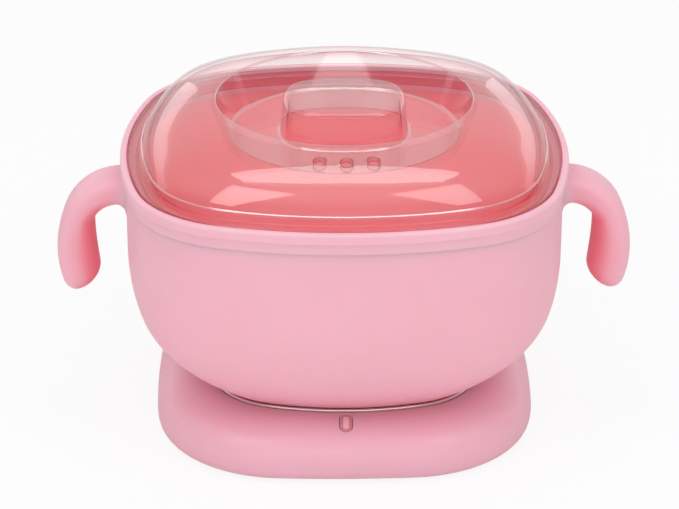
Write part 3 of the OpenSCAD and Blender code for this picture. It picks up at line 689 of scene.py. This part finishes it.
def buildHotPlate(s):
    half, top = plateHigh[0], plateHigh[2]
    face = top - s["beadHigh"]
    under = face - s["thick"]
    bead = half - s["beadWide"]
    corners = [(0.0, under), (half, under, s["edgeRound"]), (half, top, s["beadRound"]),
               (bead, top, s["beadRound"]), (bead - s["beadSlope"], face, s["edgeRound"]), (0.0, face)]
    bm = spun(rounded(corners, 8), planShape["pot"])
    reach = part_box("plate_screws")[1][0] - s["screwHead"]
    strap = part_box("strap_screws")[1][0] - s["screwHead"]
    posts = [(reach * i, reach * j, plateLow[2]) for i in (-1, 1) for j in (-1, 1)]
    posts += [(strap * i, 0.0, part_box("heater_strap")[1][2]) for i in (-1, 1)]
    for x, y, low in posts:
        addPost(bm, s["bossRadius"], x, y, low, under + s["bossSink"])
    piece = asPiece("hotPlate", bm, finish["plateMetal"], "base", "heat_plate", s["smooth"])
    piece.data.materials.append(finish["polished"])
    for f in piece.data.polygons:
        if f.center.z > face + s["polishFrom"] or (f.center.z > under and abs(f.normal.z) < slanted):
            f.material_index = 1


buildHotPlate(hotPlate)
print("stage: hot plate")


# soft pot

bowlLow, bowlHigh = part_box("pot_bowl")
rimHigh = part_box("rim_ring")[1]
lidLow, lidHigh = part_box("lid")

potBowl = {
    "floorHalf": 45.1 * mm,
    "bellyHeight": 45.6 * mm,
    "bellyPower": 2.3,
    "bellySquare": 0.2,
    "wall": 3.6 * mm,
    "floorThick": 4.5 * mm,
    "floorIn": 1.0 * mm,      # how far the floor's inner corner draws in beyond the wall
    "wallTop": 7.3 * mm,      # how far the wall stops below the rim's top
    "footRound": 0.5 * mm,
    "crowding": 1.3,          # above 1, rings crowd towards the floor
    "cornerUp": 1.5 * mm,     # where the inner wall ends, above the floor
    "insideShadeFrom": 1.0 * mm,   # the painted shade inside the pot starts this far below the floor's top
    # the inner corner's last rings: in from the wall, above the floor
    "cornerRings": ((1.0 * mm, 0.6 * mm), (2.4 * mm, 0.1 * mm), (4.0 * mm, 0.0)),
    "smooth": 60,
}


def bowlSide(s, outHalf, lowHalf, z, zLow, zTop):
    bellyTop = bowlLow[2] + s["bellyHeight"]
    drop = max(0.0, (bellyTop - z) / (bellyTop - zLow))
    bulge = 1 + s["bellySquare"] * math.sin(math.pi * (z - bowlLow[2]) / (zTop - bowlLow[2]))
    return (outHalf - (outHalf - lowHalf) * drop ** s["bellyPower"], z, bulge, 1.0)


def bowlOutside(s, top):
    low, outHalf = bowlLow[2], bowlHigh[0]
    bellyTop = low + s["bellyHeight"]
    f = s["footRound"]
    path = [(0.0, low, 1.0, 1.0), (s["floorHalf"] - 2 * f, low, 1.0, 1.0),
            (s["floorHalf"] - f, low + 0.1 * f, 1.0, 1.0)]
    for k in range(1, 41):
        z = low + f + (bellyTop - low - f) * (k / 40) ** s["crowding"]
        path.append(bowlSide(s, outHalf, s["floorHalf"], z, low, top))
    return path + [bowlSide(s, outHalf, outHalf, bellyTop + (top - bellyTop) * t, low, top)
                   for t in (0.33, 0.67, 1.0)]


def bowlInside(s, floor, top):
    low, outHalf = bowlLow[2], bowlHigh[0]
    bellyTop = low + s["bellyHeight"]
    inHalf = outHalf - s["wall"]
    floorHalf = bowlSide(s, outHalf, s["floorHalf"], floor, low, top)[0] - s["wall"] - s["floorIn"]
    path = [bowlSide(s, inHalf, inHalf, bellyTop + (top - bellyTop) * t, low, top)
            for t in (1.0, 0.67, 0.33)]
    for k in range(31):
        z = bellyTop - (bellyTop - floor - s["cornerUp"]) * (1 - (1 - k / 30) ** s["crowding"])
        path.append(bowlSide(s, inHalf, floorHalf, z, floor, top))
    last = path[-1][0]
    path += [(last - across, floor + up, 1.0, 1.0) for across, up in s["cornerRings"]]
    return path + [(0.0, floor, 1.0, 1.0)]


def buildBowl(s):
    top = rimHigh[2] - s["wallTop"]
    floor = bowlLow[2] + s["floorThick"]
    bm = spun(bowlOutside(s, top) + bowlInside(s, floor, top), planShape["pot"])
    piece = asPiece("softPot", bm, finish["siliconePink"], "pot", "pot_bowl", s["smooth"])
    # inner walls and the floor take the painted shade
    piece.data.materials.append(finish["siliconeInsideShade"])
    for face in piece.data.polygons:
        out = face.normal.x * face.center.x + face.normal.y * face.center.y
        if face.center.z > floor - s["insideShadeFrom"] and (out < 0 or face.normal.z > slanted):
            face.material_index = 1


buildBowl(potBowl)
print("stage: pot")


# rim ring

rimRing = {
    "bandHeight": 3.7 * mm,
    "lipOut": 0.8 * mm,
    "bandRound": 0.6 * mm,
    "stepRound": 0.25 * mm,
    "lipRound": 1.1 * mm,
    "seatDepth": 2.0 * mm,
    "seatGap": 0.5 * mm,
    "seatRound": 0.4 * mm,
    "edgeRound": 0.35 * mm,
    "overlap": 0.3 * mm,      # how far the ring's lower edge reaches in over the bowl's wall
    "smooth": 60,
}


def buildRim(s):
    top = rimHigh[2]
    low = top - potBowl["wallTop"]
    lip = rimHigh[1]
    band = lip - s["lipOut"]
    step = low + s["bandHeight"]
    seat = lidHigh[0] + s["seatGap"]
    inner = bowlHigh[0] - potBowl["wall"]
    corners = [(bowlHigh[0] - s["overlap"], low), (band, low, s["bandRound"]), (band, step, s["stepRound"]),
               (lip, step, s["bandRound"]), (lip, top, s["lipRound"]), (seat, top, s["edgeRound"]),
               (seat, top - s["seatDepth"], s["seatRound"]), (inner, top - s["seatDepth"], s["edgeRound"]),
               (inner, low)]
    bm = spun(rounded(corners), planShape["pot"], closed=True)
    asPiece("rimRing", bm, finish["rimPink"], "pot", "rim_ring", s["smooth"])


buildRim(rimRing)
print("stage: rim")


# ear handles

earShape = {
    "width": 18.4 * mm,
    "thick": 10.5 * mm,
    "bulge": 3.0 * mm,        # how far the grip swells towards the pot
    "bulgePower": 0.8,
    "run": 2.3 * mm,
    "bend": 15.2 * mm,
    "sweep": 31.5 * mm,
    "turn": 66.0,             # degrees below level where the second, slower bend starts
    "end": 116.0,
    "below": 7.8 * mm,
    "rootRound": 4.0 * mm,    # fillet where the ear grows out of the wall
    "rootSink": 1.2 * mm,
    "rootSpread": 2.4,        # how fast the fillet widens inside the wall
    "rootOver": 0.45,         # share of that fillet on the ear's outer side
    "rootWide": 1.2,          # and across its width
    "runSteps": 5,
    "bendSteps": 22,
    "sweepSteps": 30,
    "sweepShort": 0.2,        # part of a step left out at the tip, where the ear would end in a point
    "sweepCrowding": 1.5,     # above 1, rings crowd towards the tip
    "tip": 10.0,              # degrees over which the tip rounds off
    "tipPower": 2.3,
    "tipWidth": 0.35,         # share of the width that is left at the very tip
    "outPower": 3.2,          # how square the section is outside and inside
    "inPower": 2.4,
    "around": 48,
    "smooth": 60,
}


def earLine(s, a):
    # the middle of the strap, a degrees round its bends
    tight, whole = math.radians(min(a, s["turn"])), math.radians(a)
    start = bowlHigh[0] + s["run"]
    x = start + s["bend"] * math.sin(tight) + s["sweep"] * (math.sin(whole) - math.sin(tight))
    root = rimHigh[2] - potBowl["wallTop"] - s["below"]
    z = root - s["bend"] * (1 - math.cos(tight)) - s["sweep"] * (math.cos(tight) - math.cos(whole))
    return x, z


def rootFlare(s, x):
    if x < bowlHigh[0]:
        return s["rootRound"] + s["rootSpread"] * (bowlHigh[0] - x)
    near = s["rootRound"] - (x - bowlHigh[0])
    return s["rootRound"] - math.sqrt(s["rootRound"] ** 2 - near ** 2) if near > 0 else 0.0


def earPlaces(s):
    # (x, z, angle) from the root to the tip
    root = earLine(s, 0)[1]
    run, bend, sweep = s["runSteps"], s["bendSteps"], s["sweepSteps"]
    places = [(bowlHigh[0] - s["rootSink"], root, 0.0)]
    places += [(bowlHigh[0] + s["run"] * k / run, root, 0.0) for k in range(run)]
    angles = [s["turn"] * k / bend for k in range(bend + 1)]
    for k in range(1, sweep + 1):
        left = (1 - k / (sweep + s["sweepShort"])) ** s["sweepCrowding"]
        angles.append(s["turn"] + (s["end"] - s["turn"]) * (1 - left))
    return places + [earLine(s, a) + (a,) for a in angles]


def earStations(s):
    # (x, z, angle, thickness inwards, thickness outwards, width) at each place
    half = s["thick"] / 2
    stations = []
    for x, z, a in earPlaces(s):
        grip = 0.0
        if a > s["turn"]:
            along = (a - s["turn"]) / (s["end"] + s["tip"] - s["turn"])
            grip = s["bulge"] * math.sin(math.pi * along) ** s["bulgePower"]
        flare = rootFlare(s, x)
        near = min((s["end"] - a) / s["tip"], 1.0)
        left = max(1 - (1 - near) ** s["tipPower"], 0.0) ** (1 / s["tipPower"])
        mid = -grip / 2
        h = left * (half + grip / 2)
        stations.append((x, z, a, h - mid + flare, h + mid + s["rootOver"] * flare,
                         s["width"] * (s["tipWidth"] + (1 - s["tipWidth"]) * left) + s["rootWide"] * flare))
    return stations


def buildEar(s, name, node, side):
    bm = bmesh.new()
    loops = []
    for x, z, a, inward, outward, width in earStations(s):
        ring = bmesh.ops.create_circle(bm, cap_ends=False, radius=1.0, segments=s["around"])["verts"]
        ca, sa = math.cos(math.radians(a)), math.sin(math.radians(a))
        for v in ring:
            c, t = v.co.x, v.co.y
            thick, power = (outward, s["outPower"]) if t > 0 else (inward, s["inPower"])
            y = width / 2 * math.copysign(abs(c) ** (2 / power), c)
            out = thick * math.copysign(abs(t) ** (2 / power), t)
            v.co = Vector((x + out * sa, y, z + out * ca))
        loops.append([e for e in bm.edges if e.verts[0] in ring and e.verts[1] in ring])
    for first, second in zip(loops, loops[1:]):
        bmesh.ops.bridge_loops(bm, edges=first + second)
    bmesh.ops.contextual_create(bm, geom=loops[0])
    bmesh.ops.contextual_create(bm, geom=loops[-1])
    if side < 0:
        bmesh.ops.scale(bm, verts=bm.verts, vec=(-1, 1, 1))
    bmesh.ops.recalc_face_normals(bm, faces=bm.faces)
    asPiece(name, bm, finish["earPink"], "pot", node, s["smooth"])


buildEar(earShape, "rightEar", "right_handle", 1)
buildEar(earShape, "leftEar", "left_handle", -1)
print("stage: ear handles")


# clear lid

clearLid = {
    "thick": 1.8 * mm,
    "domeHalf": 68.0 * mm,
    "domePower": 1.7,
    "domeSquare": 1.5,        # how soon the plan turns square below the well
    "flangeIn": 0.5 * mm,     # where the flange's top starts outside the dome
    "wellHalf": 42.5 * mm,
    "wellDeep": 12.4 * mm,
    "wellDraft": 4.0 * mm,
    "wellEdge": 1.2 * mm,
    "gripHalf": 20.3 * mm,
    "gripDraft": 1.1 * mm,
    "gripDepth": 0.86,        # front to back, as a share of its width
    # arcs on top: the well's edge, its floor, the grip block's foot and top
    "topRounds": (0.8 * mm, 1.6 * mm, 1.2 * mm, 2.0 * mm),
    # arcs underneath: the same places
    "underRounds": (0.8 * mm, 1.2 * mm, 0.8 * mm, 1.0 * mm),
    "topEdge": 0.2 * mm,      # the well's wall meets the top this far outside the well
    # underneath, it ends this far in from the wall and below the top, and the dome starts this far out
    "underEdge": (0.4 * mm, 1.0 * mm, 0.6 * mm),
    "skirtHalf": 68.9 * mm,
    # arcs of the skirt's foot, where it meets the flange, and of the flange's lower and upper edge
    "skirtRounds": (0.5 * mm, 0.2 * mm, 0.4 * mm, 0.5 * mm),
    "ventRadius": 1.9 * mm,
    "ventLip": 0.35 * mm,
    "ventGap": 8.5 * mm,
    "ventAt": 52.4 * mm,
    "ventUp": 0.5 * mm,       # the vents are bored from this far above the flange
    "ventCut": 30.0 * mm,
    "ventNear": 0.1 * mm,     # faces this close to a vent belong to it
    "stepHigh": 3.0 * mm,     # a small step runs round the dome's foot
    "stepOut": 0.5 * mm,
    "stepRound": 0.25 * mm,
    "stepStart": 0.45 * mm,   # where the flange's top meets the step, outside the dome
    "stepFoot": (0.35 * mm, 0.2 * mm, 0.1 * mm),   # the step's foot: out, up and its arc
    "stepSide": 0.35 * mm,    # how far the step's side and its top stay below the dome's start
    "stepTop": (0.1 * mm, 0.15 * mm),
    "smooth": 50,
    # which faces take which finish
    "filletStep": 0.3 * mm,   # faces narrower than this are the lid's small fillets
    "filletOver": 1.0 * mm,   # up to this far above the step, or in the well
    "footIn": 3.0 * mm,       # the foot's finish reaches this far in from the skirt
    "footDown": 0.4 * mm,     # and up to this far below the step
    "edgeBand": 0.35 * mm,    # the flange's own edge is this wide
    "gripClear": 3.0 * mm,    # the well's wall is further out than this from the grip block
    "downward": -0.05,        # a face whose normal falls more than this is an underside
}


def domeCurve(s, inset, foot, top, steps, start, end):
    # part of the dome from its foot, at 0 degrees, to the well's edge, at 90, where its plan is round
    inHalf = s["wellHalf"] + s["wellEdge"]
    path = []
    for k in range(steps + 1):
        t = math.radians(start + (end - start) * k / steps)
        across = max(math.cos(t), 0.0) ** (2 / s["domePower"])
        w = inHalf + (s["domeHalf"] - inset - inHalf) * across
        z = foot + (top - foot - inset) * max(math.sin(t), 0.0) ** (2 / s["domePower"])
        path.append((w, z, min(1.0, s["domeSquare"] * across), 1.0))
    return path


def lidInside(s, top, well):
    # the underside from the grip block's middle out to the well's edge
    t, deep = s["thick"], s["gripDepth"]
    edgeArc, floorArc, footArc, gripArc = s["underRounds"]
    wallIn, wallDown, domeOut = s["underEdge"]
    return rounded([(0.0, top - t, 0, 1.0, deep),
                    (s["gripHalf"] - t, top - t, gripArc, 1.0, deep),
                    (s["gripHalf"] + s["gripDraft"] - t, well - t, footArc, 1.0, deep),
                    (s["wellHalf"] - s["wellDraft"] + t, well - t, floorArc, 0.0),
                    (s["wellHalf"] + t - wallIn, top - t - wallDown, edgeArc, 0.0),
                    (s["wellHalf"] + s["wellEdge"] + domeOut, top - t, 0.0, 0.0)])


def lidSkirt(s, start, low, flangeTop):
    # down inside the skirt, round its foot and out over the flange
    half, t = lidHigh[0], s["thick"]
    footArc, rootArc, lowerArc, upperArc = s["skirtRounds"]
    return rounded([start,
                    (s["skirtHalf"] - t, low, footArc),
                    (s["skirtHalf"], low, footArc),
                    (s["skirtHalf"], flangeTop - t, rootArc),
                    (half, flangeTop - t, lowerArc),
                    (half, flangeTop, upperArc),
                    (s["domeHalf"] + s["flangeIn"], flangeTop)])


def lidOutside(s, flangeTop, top):
    # the step round the dome's foot, then the dome up to the well
    dome = domeCurve(s, 0.0, flangeTop, top, steps=48, start=3, end=90)
    dome = [p for p in dome if p[1] > flangeTop + s["stepHigh"]]
    w, z = dome[0][:2]
    out, arc = s["stepOut"], s["stepRound"]
    footOut, footUp, footArc = s["stepFoot"]
    topOut, topDown = s["stepTop"]
    return rounded([(s["domeHalf"] + s["stepStart"], flangeTop),
                    (w + out + footOut, flangeTop + footUp, footArc),
                    (w + out, z - s["stepSide"], arc),
                    (w + topOut, z - topDown, arc),
                    dome[0][:2]])[1:-1] + dome


def lidWell(s, start, top, well):
    # over the well's edge, down to its floor and up over the grip block
    deep = s["gripDepth"]
    edgeArc, floorArc, footArc, gripArc = s["topRounds"]
    return rounded([start,
                    (s["wellHalf"] + s["topEdge"], top, edgeArc, 0.0),
                    (s["wellHalf"] - s["wellDraft"], well, floorArc, 0.0),
                    (s["gripHalf"] + s["gripDraft"], well, footArc, 1.0, deep),
                    (s["gripHalf"], top, gripArc, 1.0, deep),
                    (0.0, top, 0, 1.0, deep)], 8)


def ventPlaces(s):
    turn = 2 * math.asin(s["ventGap"] / 2 / s["ventAt"])
    return [(s["ventAt"] * math.sin(k * turn), -s["ventAt"] * math.cos(k * turn)) for k in (-1, 0, 1)]


def atVent(s, x, y):
    return any(math.hypot(x - a, y - b) < s["ventRadius"] + s["ventNear"] for a, b in ventPlaces(s))


def boreVents(s, piece, flangeTop):
    low = flangeTop + s["ventUp"]
    cutters = []
    for x, y in ventPlaces(s):
        cutter = bmesh.new()
        addPost(cutter, s["ventRadius"], x, y, low, low + s["ventCut"])
        cutters.append(cutter)
    cutAway(piece, cutters)


def softenVents(s, mesh):
    # rounds the lip of each vent
    bm = bmesh.new()
    bm.from_mesh(mesh)
    walls = {f for f in bm.faces if abs(f.normal.z) < upright and atVent(s, *f.calc_center_median()[:2])}
    lips = [e for e in bm.edges if len(e.link_faces) == 2 and sum(f in walls for f in e.link_faces) == 1]
    rounds = bmesh.ops.bevel(bm, geom=lips, offset=s["ventLip"], segments=2, profile=0.5, affect="EDGES",
                             material=-1)["faces"]
    # the rounded lips take lidCut's painted dark line
    for f in rounds:
        f.material_index = lidSlots["lidCut"]
    bm.to_mesh(mesh)
    bm.free()


def lidLookAt(s, mesh, face):
    # the clear finish that a face's place, slope and size call for
    x, y, z = face.center
    n = face.normal
    across = math.hypot(x, y)
    w = across / reachOf(planShape["pot"], math.atan2(y, x))
    corners = [mesh.vertices[i].co for i in face.vertices]
    narrow = min((a - b).length for a, b in zip(corners, corners[1:] + corners[:1])) < s["filletStep"]
    inWell = across < s["wellHalf"] + s["wellEdge"]
    outward = n.x * x + n.y * y > 0 and across > s["gripHalf"] + s["gripClear"]
    wellWall = outward and z < lidHigh[2] - s["thick"]
    stepTop = rimHigh[2] + s["stepHigh"]
    # painted dark lines of refraction and shade go on vent walls, the foot, the flange's edge and small
    # fillets
    if atVent(s, x, y) and abs(n.z) < upright:
        return "lidFoot"
    if inWell and (n.z < s["downward"] or wellWall):
        return "lidUnder"
    if z < stepTop - s["footDown"] and w > s["skirtHalf"] - s["footIn"]:
        return "lidCut" if w > lidHigh[0] - s["edgeBand"] else "lidFoot"
    if narrow and (inWell or z < stepTop + s["filletOver"]):
        return "lidCorner"
    return "lidClear"


def finishLid(s, mesh):
    for name in list(lidSlots)[1:]:
        mesh.materials.append(finish[name])
    for face in mesh.polygons:
        if face.material_index != lidSlots["lidCut"]:
            face.material_index = lidSlots[lidLookAt(s, mesh, face)]


def buildLid(s):
    top, low, flangeTop = lidHigh[2], lidLow[2], rimHigh[2]
    well = top - s["wellDeep"]
    under = domeCurve(s, s["thick"], flangeTop, top, steps=24, start=82, end=0)
    over = lidOutside(s, flangeTop, top)
    profile = lidInside(s, top, well) + under[1:] + lidSkirt(s, under[-1][:2], low, flangeTop)[1:]
    profile += over + lidWell(s, over[-1][:2] + (0, 0.0), top, well)[1:]
    bm = spun(profile, planShape["pot"])
    piece = asPiece("clearLid", bm, finish["lidClear"], "lid", "lid", s["smooth"])
    boreVents(s, piece, flangeTop)
    softenVents(s, piece.data)
    smoothUnder(piece.data, s["smooth"])
    finishLid(s, piece.data)


buildLid(clearLid)
print("stage: lid")


# finishes of the carried-over parts

nodeFinish = {
    "base_cover": "housingPink", "feet": "greyRubber", "cover_screws": "screwSteel",
    "key_cap": "keyPink", "key_ring": "duskyRose", "key_light": "ceramic",
    "tact_switch": "blackPlastic", "tact_plunger": "blackPlastic",
    "plate_seal": "greyRubber", "plate_screws": "screwSteel", "contact_plate": "plateMetal",
    "heater_disc": "mica", "insulation_pad": "fibre", "heater_strap": "screwSteel",
    "strap_screws": "screwSteel", "thermal_cutout": "ceramic", "temperature_sensor": "blackPlastic",
    "control_board": "boardGreen", "board_screws": "screwSteel", "board_chips": "blackPlastic",
    "relay": "relayBlue", "capacitor": "filmYellow",
    "inlet_socket": "blackPlastic", "inlet_pins": "pinBrass",
    "mains_wires": "brownCable", "heater_wires": "paleCable", "sensor_wires": "redCable",
}
for node, look in nodeFinish.items():
    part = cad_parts[node]
    part.data.materials.clear()
    part.data.materials.append(finish[look])
print("stage: carried-over parts")
